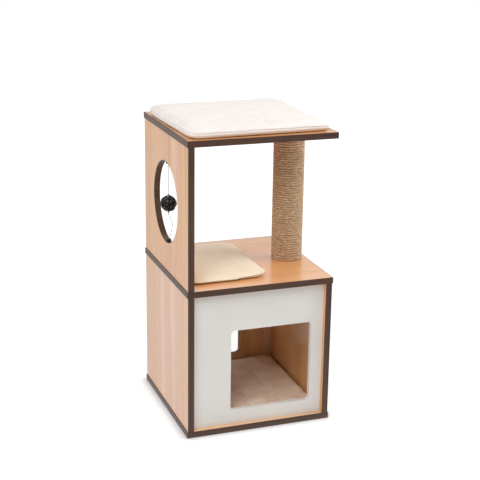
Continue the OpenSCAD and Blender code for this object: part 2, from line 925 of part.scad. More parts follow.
module ball_knots() {
    color(cord_grey) for (s = [-1, 1]) translate([toy_x, 0, ball_z + s * ball_knot_step]) difference() {
        sphere(r = ball_knot_r);
        translate([0, 0, -ball_knot_r - overcut]) cylinder(r = cord_bore_r, h = ball_knot_d + 2 * overcut);
    }
}

module toy_ball() {
    color(plastic_black) translate([toy_x, 0, ball_z]) difference() {
        sphere(r = ball_r, $fn = 96);
        translate([0, 0, -ball_r - overcut]) cylinder(r = cord_bore_r, h = ball_d + 2 * overcut);
    }
}

base_board();
base_edge_band();
left_side_board();
left_side_edge_bands();
right_side_board();
right_side_edge_bands();
front_panel();
back_board();
back_window_lining();
shelf_board();
shelf_edge_band();
upper_side_board();
upper_side_edge_bands();
porthole_lining();
top_board();
top_edge_band();
post_tube();
post_bottom_plug();
post_top_plug();
sisal_rope();
post_bolts();
post_washers();
post_insert_nuts();
cam_discs();
cam_bolts();
cam_caps();
wood_dowels();
small_dowels();
base_screws();
top_cushion();
top_cushion_foam();
shelf_cushion();
shelf_cushion_foam();
den_cushion();
den_cushion_foam();
hook_tapes();
loop_tapes();
top_cord_anchor();
bottom_cord_anchor();
top_stopper_knot();
bottom_stopper_knot();
upper_cord();
lower_cord();
ball_knots();
toy_ball();
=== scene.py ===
import math

import bpy
import numpy as np
from mathutils import Matrix, Vector, noise
from mathutils.bvhtree import BVHTree


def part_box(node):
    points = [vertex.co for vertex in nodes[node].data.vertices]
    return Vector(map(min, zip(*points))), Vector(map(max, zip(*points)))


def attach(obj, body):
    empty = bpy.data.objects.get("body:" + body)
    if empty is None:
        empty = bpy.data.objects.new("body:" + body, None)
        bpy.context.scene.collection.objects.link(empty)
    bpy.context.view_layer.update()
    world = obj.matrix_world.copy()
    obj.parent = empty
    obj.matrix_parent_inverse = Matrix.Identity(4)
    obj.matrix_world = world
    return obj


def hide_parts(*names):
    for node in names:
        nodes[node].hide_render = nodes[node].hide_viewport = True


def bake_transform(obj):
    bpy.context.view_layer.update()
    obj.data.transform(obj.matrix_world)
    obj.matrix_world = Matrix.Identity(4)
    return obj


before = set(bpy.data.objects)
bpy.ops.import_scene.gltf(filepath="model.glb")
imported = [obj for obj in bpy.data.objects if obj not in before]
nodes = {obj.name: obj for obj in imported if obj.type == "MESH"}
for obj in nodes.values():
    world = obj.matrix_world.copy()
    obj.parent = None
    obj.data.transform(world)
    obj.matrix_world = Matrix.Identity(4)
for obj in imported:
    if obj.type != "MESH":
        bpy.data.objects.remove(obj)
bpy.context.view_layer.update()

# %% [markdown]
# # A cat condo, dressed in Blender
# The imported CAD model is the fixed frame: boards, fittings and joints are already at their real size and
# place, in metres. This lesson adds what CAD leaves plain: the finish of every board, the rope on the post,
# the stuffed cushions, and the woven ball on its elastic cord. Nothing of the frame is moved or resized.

MM = 0.001

# %% [markdown]
# ## The camera
# A camera could be placed by eye, but a photograph taken with a long lens hides its own perspective well.
# This one was worked out from the corners of the boards: their real places and their places in the picture
# fix the camera's place, its turn and its focal length, here in pixels of a 480 pixel wide picture.

# %% Camera
IMAGE_PX = 480
FOCAL_PX = 1147.0
SENSOR_MM = 36.0
camera_place = Vector((-0.9192, -2.5428, 1.2569))
azimuth = math.radians(-20.078)
elevation = math.radians(17.106)
roll = math.radians(0.816)

back = Vector((
    math.sin(azimuth) * math.cos(elevation),
    -math.cos(azimuth) * math.cos(elevation),
    math.sin(elevation),
))
level_right = Vector((math.cos(azimuth), math.sin(azimuth), 0))
level_up = back.cross(level_right)
right = level_right * math.cos(roll) + level_up * math.sin(roll)
up = level_up * math.cos(roll) - level_right * math.sin(roll)
turn = Matrix((right, up, back)).transposed()

bpy.ops.object.select_all(action="DESELECT")
bpy.ops.object.camera_add(location=camera_place, rotation=turn.to_euler())
camera = bpy.context.object
camera.name = "photo_camera"
camera.data.sensor_width = SENSOR_MM
camera.data.lens = FOCAL_PX / IMAGE_PX * SENSOR_MM
bpy.context.scene.camera = camera
print("camera lens in mm:", round(camera.data.lens, 2))

# %% [markdown]
# ## Small helpers
# Operators act on whatever is selected, so each piece starts from an empty selection. When it is done, its
# place goes into its mesh, so that every finished piece sits at the origin like the CAD nodes.


# %% Helpers for modelling
def start_fresh():
    """Back to object mode with nothing selected."""
    if bpy.context.mode != "OBJECT":
        bpy.ops.object.mode_set(mode="OBJECT")
    bpy.ops.object.select_all(action="DESELECT")


def make_active(piece):
    """Selects one piece alone and makes it the active one."""
    start_fresh()
    piece.select_set(True)
    bpy.context.view_layer.objects.active = piece


def name_piece(name):
    """Names the piece that the last operator made."""
    piece = bpy.context.object
    piece.name = name
    piece.data.name = name
    return piece


def put(owner, **fields):
    """Sets these fields of an owner."""
    for field, value in fields.items():
        setattr(owner, field, value)


def modify(piece, name, kind, **fields):
    """Gives a piece a modifier with these settings."""
    put(piece.modifiers.new(name, kind), **fields)


def apply_modifiers(piece):
    """Makes a piece's modifiers part of its mesh."""
    make_active(piece)
    for modifier in list(piece.modifiers):
        bpy.ops.object.modifier_apply(modifier=modifier.name)


def settle(piece):
    """Puts a piece's place, turn and scale into its mesh."""
    make_active(piece)
    bpy.ops.object.transform_apply(location=True, rotation=True, scale=True)
    return piece


def points_of(piece):
    """The vertices of a piece as rows of x, y, z."""
    flat = np.zeros(len(piece.data.vertices) * 3)
    piece.data.vertices.foreach_get("co", flat)
    return flat.reshape(-1, 3)


def set_points(piece, points):
    """Moves the vertices of a piece to these rows of x, y, z."""
    piece.data.vertices.foreach_set("co", np.asarray(points, np.float32).ravel())
    piece.data.update()


def finish_piece(piece, body, material, slot, *replaced):
    """Gives a piece its finish, the body it moves with and the CAD nodes it stands for. The slot is not
    used.
    """
    piece.data.materials.clear()
    piece.data.materials.append(material)
    if body:
        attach(piece, body)
    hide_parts(*replaced)
    print(piece.name, "faces:", len(piece.data.polygons))
    return piece


# %% [markdown]
# ## Helpers for materials
# A material is a small graph of nodes. One function adds a node, sets its fields and sockets, and links it.
# Short ones make the steps that most finishes share, in the graph that a socket knows as its id_data.
# Colours are written as sRGB hex, the way a paint program shows them, and turned to linear once. Pattern
# sizes are real sizes: a texture's scale is one over the size of its features in metres.


# %% Helpers for materials
def hex_colour(code):
    """An sRGB hex colour as linear red, green, blue and alpha."""
    shares = [int(code[i:i + 2], 16) / 255 for i in (1, 3, 5)]
    return [c / 12.92 if c <= 0.04045 else ((c + 0.055) / 1.055) ** 2.4 for c in shares] + [1.0]


def per_size(millimetres):
    """A texture scale at which the pattern's features have this size."""
    return 1 / (millimetres * MM)


def add(tree, kind, inputs=None, stops=None, **fields):
    """Adds a node: fields are its own settings, inputs its sockets as values or links, stops its ramp."""
    node = tree.nodes.new(kind)
    put(node, **fields)
    for socket, value in (inputs or {}).items():
        if isinstance(value, bpy.types.NodeSocket):
            tree.links.new(value, node.inputs[socket])
        else:
            node.inputs[socket].default_value = value
    for i, (place, colour) in enumerate(stops or []):
        element = node.color_ramp.elements[i] if i < 2 else node.color_ramp.elements.new(place)
        element.position = place
        element.color = hex_colour(colour)
    return node


def own_place(tree):
    """A point's place on the piece itself, in metres."""
    return add(tree, "ShaderNodeTexCoord").outputs["Object"]


def stretch(place, scale, shift=(0, 0, 0)):
    """A place, scaled along each axis and shifted."""
    inputs = {"Vector": place, "Location": shift, "Scale": scale}
    return add(place.id_data, "ShaderNodeMapping", inputs).outputs["Vector"]


def noise_tone(place, size_mm, detail, distortion=0.0):
    """A noise with features of this size, as a tone from 0 to 1."""
    inputs = {"Vector": place, "Scale": per_size(size_mm), "Detail": detail, "Distortion": distortion}
    return add(place.id_data, "ShaderNodeTexNoise", inputs).outputs["Fac"]


def mix_tones(share, first, second):
    """Two tones in one: share is the part of the second."""
    return add(first.id_data, "ShaderNodeMix", {"Factor": share, 2: first, 3: second}).outputs[0]


def ramp(tone, stops):
    """A tone turned to colours."""
    return add(tone.id_data, "ShaderNodeValToRGB", {"Fac": tone}, stops).outputs["Color"]


def ranged(tone, least, most, start=0.0, end=1.0):
    """A tone that runs from start to end, turned to a value from least to most."""
    inputs = {"Value": tone, "From Min": start, "From Max": end, "To Min": least, "To Max": most}
    return add(tone.id_data, "ShaderNodeMapRange", inputs).outputs[0]


def new_material(name, **shader):
    """A material with one Principled shader, whose sockets are given with _ for each space."""
    material = bpy.data.materials.new(name)
    material.use_nodes = True
    tree = material.node_tree
    principled = tree.nodes["Principled BSDF"]
    for socket, value in shader.items():
        principled.inputs[socket.replace("_", " ")].default_value = value
    return material, tree, principled.inputs


def wire(shader, colour, relief, rough=None):
    """Links a finish to its shader: relief is a tone, its strength and its depth in millimetres, and
    rough is a tone with the least and the most roughness."""
    links = colour.id_data.links
    links.new(colour, shader["Base Color"])
    if rough:
        links.new(ranged(*rough), shader["Roughness"])
    tone, strength, depth = relief
    inputs = {"Height": tone, "Strength": strength, "Distance": depth * MM}
    links.new(add(tone.id_data, "ShaderNodeBump", inputs).outputs["Normal"], shader["Normal"])


# %% [markdown]
# ## The elastic cord
# The ball hangs on one thin elastic cord that is knotted in two plugs, at the top and the bottom of the
# porthole. Above the ball the ball's weight draws it straight, and below it hangs slack in a shallow bow. A
# curve with a round bevel gives a cord along any route, and it is then made a mesh. The slack stretch
# crosses two joints, one for each way of swinging, so it is two pieces that meet in its bow.

# %% Material of the cord
# Rubber core with a braided polyester cover: pale grey, matt, with the fine diagonal ribs of the braid
BRAID_MM = 1.2
DIAGONAL_WAVES = 10 / (2 * math.pi)
elastic, tree, shader = new_material("elastic_cord_braided_polyester", Roughness=0.7, Sheen_Weight=0.2)
ribs = add(tree, "ShaderNodeTexWave", {
    "Vector": own_place(tree), "Scale": per_size(BRAID_MM) / DIAGONAL_WAVES, "Distortion": 1.5,
}, bands_direction="DIAGONAL").outputs["Fac"]
wire(shader, ramp(ribs, [(0.2, "#97958F"), (0.8, "#BFBDB7")]), (ribs, 0.4, 0.1))

# %% Routes of the cord, as in the CAD source
CORD_D = 1.5 * MM
TOY_X = -173.0
upper_route = [(TOY_X, 0, z) for z in (630.4, 600, 570, 540, 507.3)]
lower_route = [
    (-173, 0, 507), (-173, 0, 505.3), (-172.4, -1.1, 503), (-171, -3.7, 500), (-169.4, -6.7, 497),
    (-168.1, -9, 493.5), (-167.3, -10.4, 489), (-167, -11, 483), (-167.1, -10.8, 477),
    (-167.5, -10, 471), (-168.3, -8.7, 465), (-169.3, -6.8, 459), (-170.6, -4.4, 454),
    (-171.9, -2, 449.8), (-172.8, -0.4, 447), (-173, 0, 445.5), (-173, 0, 444),
]
BOW = 8


def in_metres(route):
    """A route in millimetres as vectors in metres."""
    return [Vector(point) * MM for point in route]


def length_of(route):
    """The length of a route, from point to point."""
    return sum((b - a).length for a, b in zip(route, route[1:]))


def round_cord(name, route, thickness, closed=False):
    """A cord along a route: a smooth curve with a round bevel, made a mesh."""
    start_fresh()
    bpy.ops.curve.primitive_bezier_curve_add(location=(0, 0, 0))
    piece = name_piece(name)
    piece.data.splines.clear()
    spline = piece.data.splines.new("BEZIER")
    spline.bezier_points.add(len(route) - 1)
    for knot, point in zip(spline.bezier_points, route):
        put(knot, co=point, handle_left_type="AUTO", handle_right_type="AUTO")
    put(spline, use_cyclic_u=closed, resolution_u=4)
    put(piece.data, bevel_depth=thickness / 2, bevel_resolution=3, use_fill_caps=not closed)
    bpy.ops.object.convert(target="MESH")
    bpy.ops.object.shade_smooth()
    return name_piece(name)


# %% The three stretches of cord
upper_path = in_metres(upper_route)
slack_path = in_metres(lower_route[:BOW + 1])
foot_path = in_metres(lower_route[BOW:])

upper_cord = round_cord("elastic_cord_upper", upper_path, CORD_D)
finish_piece(upper_cord, "toy_cord", elastic, "elastic", "upper_cord")

slack_cord = round_cord("elastic_cord_slack", slack_path, CORD_D)
finish_piece(slack_cord, None, elastic, "elastic", "lower_cord")
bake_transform(slack_cord)

foot_cord = round_cord("elastic_cord_foot", foot_path, CORD_D)
finish_piece(foot_cord, None, elastic, "elastic", "lower_cord")
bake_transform(foot_cord)

# %% [markdown]
# ## The knots
# Four overhand knots hold the cord: one in each plug, and one above and one below the ball. A ball would do
# from far away, but a knot shows its strands. A tight overhand knot looks like a small trefoil, and a
# trefoil is a short formula, so its line is worked out and given the cord's round bevel.

# %% Overhand knots
KNOT_POINTS = 24
KNOT_CORD = 1.15 * MM
KNOT_RISE = 1.8
BALL_KNOT_R = 2.5 * MM
PLUG_KNOT_R = 2.35 * MM
KNOT_STEP = 22.4 * MM


def overhand_knot(name, centre, reach):
    """A tight overhand knot: a closed trefoil line, as wide as reach from its centre."""
    size = (reach - KNOT_CORD / 2) / 3
    route = []
    for i in range(KNOT_POINTS):
        t = 2 * math.pi * i / KNOT_POINTS
        flat_x = math.sin(t) + 2 * math.sin(2 * t)
        flat_y = math.cos(t) - 2 * math.cos(2 * t)
        route.append(centre + Vector((flat_x, flat_y, -KNOT_RISE * math.sin(3 * t))) * size)
    return round_cord(name, route, KNOT_CORD, closed=True)


def middle_of(node):
    """The middle of a CAD node's box."""
    low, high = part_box(node)
    return (low + high) / 2


ball_middle = middle_of("toy_ball")
for name, side in (("cord_knot_over_ball", 1), ("cord_knot_under_ball", -1)):
    knot = overhand_knot(name, ball_middle + Vector((0, 0, side * KNOT_STEP)), BALL_KNOT_R)
    finish_piece(knot, "toy_cord", elastic, "elastic", "ball_knots")
for name, node, body in (
    ("cord_knot_in_top_plug", "top_stopper_knot", "toy_knot"),
    ("cord_knot_in_bottom_plug", "bottom_stopper_knot", "frame"),
):
    knot = overhand_knot(name, middle_of(node), PLUG_KNOT_R)
    finish_piece(knot, body, elastic, "elastic", node)

print("cord lengths in mm:", [round(length_of(p) / MM, 1) for p in (upper_path, slack_path, foot_path)])

# %% [markdown]
# ## Boards in printed wood foil
# The boards are chipboard under a satin printed foil. The print shows broad soft bands of tan and rose
# along the grain, with fine streaks and short pores in them. A photograph of wood could be wrapped round
# each board, but a stretched noise follows the grain of any board at its true scale, and each board gets
# its own stretch of the print. The shelf has a coat of lacquer on top. At a flat angle it mirrors the
# white surround, so the shelf looks pale there and deep orange where it mirrors the post.

# %% Material of the boards
BAND_MM = 58
STREAK_MM = 7
PORE_MM = 1.8
STREAK_SHARE = 0.15
PORE_SHARE = 0.4
ALONG_GRAIN = 0.035
UPRIGHT = (1, 1, ALONG_GRAIN)
LYING = (ALONG_GRAIN, 1, 1)
TONE_PLACES = (0.36, 0.47, 0.56, 0.66)
SHELF_COAT = 0.5


def wood_foil(name, grain, seed, tones, coat):
    """Printed wood foil, satin. Its pores are drawn at about twice their real width, so that they show."""
    material, tree, shader = new_material(name, IOR=1.5, Coat_Weight=coat, Coat_Roughness=0.22)
    print_place = stretch(own_place(tree), grain, (0.37 * seed, 0.53 * seed, 0.71 * seed))
    bands = noise_tone(print_place, BAND_MM, 1.0, 0.4)
    streaks = noise_tone(print_place, STREAK_MM, 3.0)
    pores = noise_tone(print_place, PORE_MM, 2.0)
    wood = ramp(mix_tones(STREAK_SHARE, bands, streaks), zip(TONE_PLACES, tones))
    pore_tone = ramp(pores, [(0.34, "#D8CFC8"), (0.46, "#FFFFFF")])
    colour = add(tree, "ShaderNodeMix", {0: PORE_SHARE, 6: wood, 7: pore_tone},
                 data_type="RGBA", blend_type="MULTIPLY").outputs[2]
    wire(shader, colour, (pores, 0.12, 0.1), (streaks, 0.24, 0.36))
    return material


golden_tones = ("#DCAF79", "#E5BB89", "#E3B68C", "#ECC7A1")
board_prints = {
    "left_side_board": (UPRIGHT, ("#E5B58E", "#E9BC98", "#E7B79D", "#F0CAAE"), 0),
    "right_side_board": (UPRIGHT, ("#DAA268", "#E3AF78", "#E0A97B", "#E9BB8E"), 0),
    "upper_side_board": (UPRIGHT, ("#DA9F6A", "#E6B481", "#E0A688", "#EEC39C"), 0),
    "back_board": (UPRIGHT, golden_tones, 0),
    "base_board": (LYING, golden_tones, 0),
    "shelf_board": (LYING, ("#E0A56E", "#E8B07A", "#E6AE82", "#EEBC90"), SHELF_COAT),
    # The top board's print is a tone deeper than the other lying boards: painted shade, for the shadow that
    # the top cushion casts on the strip of board in front of it
    "top_board": (LYING, ("#CB9058", "#D69F67", "#D39A6E", "#DEAB80"), 0),
}


def dress(material, *dressed):
    """Gives CAD nodes their finish."""
    for node in dressed:
        nodes[node].data.materials.clear()
        nodes[node].data.materials.append(material)
    print(material.name, "on:", *dressed)


for seed, (board, (grain, tones, coat)) in enumerate(board_prints.items(), 1):
    dress(wood_foil("wood_foil_satin_" + board, grain, seed, tones, coat), board)

# %% [markdown]
# ## Dark edge bands and linings
# Every cut edge is closed with a dark brown ABS band, glued on and trimmed, with its corners rounded by the
# trimmer. The round comes from the CAD model. The band has a fine wood texture pressed along it, so the
# noise runs with the strip: up and down on the upright boards, level on the lying ones.

# %% Material of the edge bands
EMBOSS_MM = 1.6
BAND_TONE_MM = 14
ALONG_BAND = 0.04
LEVEL_STRIP = (ALONG_BAND, ALONG_BAND, 1)


def edge_band(name, grain, tones=("#412A1F", "#4E3528", "#5E4434"), **shader_values):
    """Extruded edge band with a pressed grain: brown, dull satin, a little paler where it is rubbed."""
    material, tree, shader = new_material(name, IOR=1.5, **shader_values)
    strip = stretch(own_place(tree), grain)
    emboss = noise_tone(strip, EMBOSS_MM, 2.0)
    patches = noise_tone(strip, BAND_TONE_MM, 3.0)
    brown = ramp(mix_tones(0.45, patches, emboss), zip((0.3, 0.5, 0.7), tones))
    wire(shader, brown, (emboss, 0.2, 0.1), (emboss, 0.36, 0.52))
    return material


dress(edge_band("edge_band_abs_upright", (1, 1, ALONG_BAND)),
      "left_side_edge_bands", "right_side_edge_bands", "upper_side_edge_bands")
dress(edge_band("edge_band_abs_level", LEVEL_STRIP),
      "base_edge_band", "shelf_edge_band", "top_edge_band", "porthole_lining")
# The window at the rear is lined with a paper band, printed brown like the boards and quite dull
dress(edge_band("edge_band_paper_dull", LEVEL_STRIP, ("#7A5138", "#885D42", "#966A4D"),
                Specular_IOR_Level=0.05), "back_window_lining")

# %% [markdown]
# ## The white front panel
# The front panel is MDF under white lacquer. Lacquer on MDF is never quite flat: it has a faint orange peel
# and a soft, slightly uneven gloss. Its edges are eased with sandpaper, which catches light round the door,
# so the CAD panel gets a weld and a small bevel as modifiers: its own mesh stays as it is.

# %% Material and eased edges of the front panel
PEEL_MM = 2.5
CLOUD_MM = 120
EASED_MM = 1.0
lacquer, tree, shader = new_material("white_lacquer_on_mdf", IOR=1.5, Specular_IOR_Level=0.4)
peel = noise_tone(own_place(tree), PEEL_MM, 1.0)
clouds = noise_tone(own_place(tree), CLOUD_MM, 2.0)
white = ramp(clouds, [(0.3, "#E2E0DB"), (0.7, "#E9E6E2")])
wire(shader, white, (peel, 0.06, 0.1), (clouds, 0.34, 0.46))
dress(lacquer, "front_panel")

modify(nodes["front_panel"], "joined_corners", "WELD", merge_threshold=0.01 * MM)
modify(nodes["front_panel"], "eased_edges", "BEVEL", width=EASED_MM * MM, segments=3, limit_method="ANGLE",
       angle_limit=math.radians(40), harden_normals=True)
print("front panel, eased edges in mm:", EASED_MM)

# %% [markdown]
# ## Fittings and inner parts
# Most fittings are hidden in the boards, but each gets its real finish. One function makes it from two
# tones, the size of its pattern and its range of roughness.


# %% Materials of the fittings
def fitting_finish(name, tones, pattern_mm, rough, grain=(1, 1, 1), depth_mm=0.05, **shader_values):
    """A plain industrial finish: two tones in a fine noise, which also breaks up gloss and surface."""
    material, tree, shader = new_material(name, **shader_values)
    pattern = noise_tone(stretch(own_place(tree), grain), pattern_mm, 3.0)
    colour = ramp(pattern, zip((0.35, 0.65), tones))
    wire(shader, colour, (pattern, 0.5, depth_mm), (pattern, *rough))
    return material


# Bright zinc plating on steel: cool grey metal with fine cloudy spangle
dress(fitting_finish("zinc_plated_steel", ("#B4B6B8", "#D3D4D4"), 1.5, (0.22, 0.38), Metallic=1.0),
      "post_bolts", "post_washers", "cam_bolts", "base_screws")
# Die-cast zinc: duller and greyer, with a sandy skin from the mould
dress(fitting_finish("zinc_die_cast", ("#8E9092", "#A6A7A8"), 0.8, (0.4, 0.6), Metallic=1.0), "cam_discs")
# Turned brass: warm yellow metal
dress(fitting_finish("brass_turned", ("#B9923F", "#D2AE5C"), 1.0, (0.2, 0.35), (1, 1, 6), Metallic=1.0),
      "post_insert_nuts")
# Beech, rolled with flutes: pale wood with fine grain along the dowel
dress(fitting_finish("beech_fluted", ("#C69E6E", "#DDBB8C"), 1.2, (0.55, 0.75), (1, 1, 0.08), 0.2),
      "wood_dowels", "small_dowels", "post_bottom_plug", "post_top_plug")
# Spiral wound grey-brown board: dull paper with faint fibres
dress(fitting_finish("board_tube_wound_paper", ("#A48661", "#BC9F79"), 3.0, (0.8, 0.95),
                     (0.3, 0.3, 1), 0.1), "post_tube")
# Moulded polypropylene caps in the board's tone
dress(fitting_finish("polypropylene_cap_moulded", ("#CDA27A", "#D6AE88"), 0.6, (0.4, 0.55)), "cam_caps")
# Woven nylon hook and loop tape: a dense dark pile
dress(fitting_finish("nylon_hook_and_loop_tape", ("#2E2B2A", "#57514E"), 0.9, (0.8, 0.95), depth_mm=0.4),
      "hook_tapes", "loop_tapes")
# Moulded polyamide plugs that hold the cord: near black, satin
dress(fitting_finish("polyamide_plug_moulded", ("#1B1917", "#2B2825"), 0.7, (0.38, 0.55)),
      "top_cord_anchor", "bottom_cord_anchor")

# %% [markdown]
# ## The sisal rope on the post
# The post is a board tube wound with about 56 turns of 6 mm three-strand sisal rope. The first turn lies
# flat on the shelf, so each turn lies flat on the one below and climbs one rope's width in a short step at
# the rear. A helix could be drawn point by point. Here a single vertex is swept up the post by the Screw
# modifier, the sweep becomes a curve, and a three-lobed profile runs along it. The curve's tilt turns the
# profile as it goes, and that twist is the lay of the three strands.

# %% Material of the rope
# Sisal: hard, straight leaf fibres, dull straw with paler and darker hairs that run along the rope
FIBRE_MM, FIBRE_RUN_MM = 0.55, 28
FLECK_MM, FLECK_RUN_MM = 2.2, 11
METRE_MM = 1000


def run_tone(along, width_mm, run_mm, detail):
    """A noise that is narrow across a rope or a strip and runs along it: its sizes are in the stretch."""
    return noise_tone(stretch(along, (per_size(run_mm), per_size(width_mm), 1)), METRE_MM, detail)


sisal, tree, shader = new_material("sisal_rope_twisted", Specular_IOR_Level=0.3, Sheen_Weight=0.15)
along = add(tree, "ShaderNodeUVMap", uv_map="along_the_rope").outputs["UV"]
fibres = run_tone(along, FIBRE_MM, FIBRE_RUN_MM, 3.0)
flecks = run_tone(along, FLECK_MM, FLECK_RUN_MM, 2.0)
straw = ramp(mix_tones(0.55, fibres, flecks),
             [(0.36, "#7C5B40"), (0.46, "#BC9872"), (0.54, "#D3B48F"), (0.64, "#F8EAD4")])
wire(shader, straw, (fibres, 0.6, 0.3), (fibres, 0.6, 0.9))

# %% Sweep one vertex up the post
ROPE_R = 3 * MM
ROPE_STEPS = 130
LAY_LENGTH = 21 * MM
rope_low, rope_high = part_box("sisal_rope")
post_axis = (rope_low + rope_high) / 2
winding_r = (rope_high.x - rope_low.x) / 2 - ROPE_R
rope_turns = round((rope_high.z - rope_low.z) / (2 * ROPE_R))
rope_pitch = (rope_high.z - rope_low.z - 2 * ROPE_R) / (rope_turns - 1)

start_fresh()
bpy.ops.mesh.primitive_plane_add(size=0.01, location=(post_axis.x, post_axis.y, rope_low.z + ROPE_R))
rope_line = name_piece("sisal_rope_line")
bpy.ops.object.mode_set(mode="EDIT")
bpy.ops.mesh.select_all(action="SELECT")
bpy.ops.mesh.merge(type="CENTER")
bpy.ops.transform.translate(value=(0, winding_r, 0))
bpy.ops.object.mode_set(mode="OBJECT")
modify(rope_line, "winding", "SCREW", iterations=rope_turns, screw_offset=rope_pitch, steps=ROPE_STEPS,
       render_steps=ROPE_STEPS, use_normal_calculate=False)
apply_modifiers(rope_line)
bpy.ops.object.convert(target="CURVE")
settle(rope_line)
rope_spline = rope_line.data.splines[0]
print("rope turns:", rope_turns, "points:", len(rope_spline.points))

# %% Lay each turn flat, and twist the strands
STEP_SHARE = 0.22
ROPE_UNEVEN = 0.22 * MM


def climb(share):
    """Height of a turn, in pitches: level for most of the way round, then one smooth step up."""
    step = max(0.0, (share - 1 + STEP_SHARE) / STEP_SHARE)
    return step * step * (3 - 2 * step)


line_points = [Vector(point.co[:3]) for point in rope_spline.points]
if line_points[0].z > line_points[-1].z:
    line_points.reverse()
ring_step = 2 * math.pi * winding_r / ROPE_STEPS
travelled = 0.0
for i, (point, place) in enumerate(zip(rope_spline.points, line_points)):
    turn_count, share = divmod(i / ROPE_STEPS, 1)
    level = min(turn_count + climb(share), rope_turns - 1)
    angle = math.atan2(place.y - post_axis.y, place.x - post_axis.x)
    spot = Vector((math.cos(angle), math.sin(angle), 0))
    wobble = noise.noise(spot * 2.5 + Vector((0, 0, turn_count * 1.7)))
    lift = noise.noise(spot * 1.9 + Vector((7, 0, turn_count * 2.3)))
    reach = winding_r + ROPE_UNEVEN * wobble
    point.co = (
        post_axis.x + reach * spot.x,
        post_axis.y + reach * spot.y,
        rope_low.z + ROPE_R + rope_pitch * level + ROPE_UNEVEN * lift,
        1,
    )
    point.tilt = 2 * math.pi * (travelled / LAY_LENGTH % 1)
    travelled += ring_step
print("rope length in metres:", round(travelled, 2))

# %% Three-lobed profile of the rope
PROFILE_SIDES = 12
LOBE_SHARES = (1.0, 0.91, 0.71, 0.91)

start_fresh()
bpy.ops.mesh.primitive_circle_add(vertices=PROFILE_SIDES, radius=ROPE_R, location=(0, 0, 0))
rope_profile = name_piece("sisal_rope_profile")
lobes = points_of(rope_profile)
for i in range(PROFILE_SIDES):
    lobes[i] *= LOBE_SHARES[i % len(LOBE_SHARES)]
set_points(rope_profile, lobes)
bpy.ops.object.convert(target="CURVE")

put(rope_line.data, dimensions="3D", twist_mode="Z_UP", bevel_mode="OBJECT", bevel_object=rope_profile,
    use_fill_caps=True)
make_active(rope_line)
bpy.ops.object.convert(target="MESH")
rope = name_piece("sisal_rope_winding")
bpy.data.objects.remove(rope_profile)
bpy.ops.object.mode_set(mode="EDIT")
bpy.ops.mesh.select_all(action="SELECT")
bpy.ops.mesh.normals_make_consistent(inside=False)
bpy.ops.object.mode_set(mode="OBJECT")
bpy.ops.object.shade_smooth()

# %% A map that runs along the rope
side_step = 2 * math.pi * ROPE_R / PROFILE_SIDES
rope_map = rope.data.uv_layers.new(name="along_the_rope")
for face in rope.data.polygons:
    spots = [(v // PROFILE_SIDES, v % PROFILE_SIDES) for v in face.vertices]
    across_seam = max(s[1] for s in spots) - min(s[1] for s in spots) > PROFILE_SIDES / 2
    for loop, (ring, side) in zip(face.loop_indices, spots):
        lap = PROFILE_SIDES if across_seam and side == 0 else 0
        turned = PROFILE_SIDES * ring * ring_step / LAY_LENGTH
        rope_map.data[loop].uv = (ring * ring_step, (side + lap + turned) * side_step)
finish_piece(rope, "frame", sisal, "sisal", "sisal_rope")

# %% [markdown]
# ## The three cushions
# Each cushion is a foam slab in a plush cover. The cover is a closed shell that its filling presses
# outwards, and that is what a cloth simulation with pressure does: the shell swells, its sides pull in
# between the corners and its faces crown. A subdivided box with smoothed corners would be quicker, but it
# keeps a drawn look. So a block with round corners is remeshed to even squares, blown up by the simulation
# for a few frames, and held to a small travel, because foam doesn't swell like a balloon. Then it is fitted
# to its place and set flat on its board.

# %% Material of the plush covers
PILE_MM = 1.1
NAP_MM = 45
TUFT_MM = 7


def plush(name, shade, middle, light):
    """Knitted polyester plush: a short dense pile that scatters light, brushed this way and that.
    The pile is drawn at about three times its real width, so that it shows."""
    material, tree, shader = new_material(
        name, Roughness=0.95, Specular_IOR_Level=0.15, Sheen_Weight=0.25, Sheen_Roughness=0.6)
    place = own_place(tree)
    pile = noise_tone(place, PILE_MM, 2.0)
    nap = noise_tone(place, NAP_MM, 3.0, 0.6)
    tufts = noise_tone(place, TUFT_MM, 2.0)
    tone = mix_tones(0.25, mix_tones(0.35, nap, tufts), pile)
    colour = ramp(tone, [(0.32, shade), (0.5, middle), (0.66, light)])
    wire(shader, colour, (mix_tones(0.4, pile, tufts), 0.5, 0.8))
    return material


white_plush = plush("plush_knitted_cream", "#EDE4DD", "#F4ECE6", "#F8F2EE")
beige_plush = plush("plush_knitted_beige", "#EEDFC4", "#F4E8D0", "#F9F0DE")
# The den cushion is the same beige plush: its darker, browner tones are painted shade and painted warm
# light bounced from the den's orange walls
den_plush_painted_shade = plush("plush_knitted_beige_painted_den_shade", "#CBAE91", "#E3CAB1", "#F4E3D1")
# Spun polyester sewing thread, a tone darker than the cover it holds together
cream_thread = fitting_finish("polyester_thread_cream", ("#E0D3C6", "#EFE5DA"), 0.8, (0.6, 0.8))
fawn_thread = fitting_finish("polyester_thread_fawn", ("#B79B7B", "#CDB494"), 0.8, (0.6, 0.8))

# %% Blow up a block into a cushion
SWELL_FRAMES = 20
PRESSURE = 4.0
SWELL_SHARE = 0.15
TRAVEL_SHARE = 0.3
SOFTENING = 6


def round_block(name, middle, size, corner, segments):
    """A block whose upright edges are rounded."""
    start_fresh()
    bpy.ops.mesh.primitive_cube_add(size=1, location=middle, scale=size)
    block = settle(name_piece(name))
    bpy.ops.object.mode_set(mode="EDIT")
    bpy.ops.mesh.select_mode(type="EDGE")
    bpy.ops.mesh.select_all(action="DESELECT")
    bpy.ops.object.mode_set(mode="OBJECT")
    for edge in block.data.edges:
        a, b = (block.data.vertices[v].co for v in edge.vertices)
        edge.select = abs(a.z - b.z) > 0.9 * (a - b).length
    bpy.ops.object.mode_set(mode="EDIT")
    bpy.ops.mesh.bevel(offset=corner, segments=segments, affect="EDGES")
    bpy.ops.object.mode_set(mode="OBJECT")
    return block


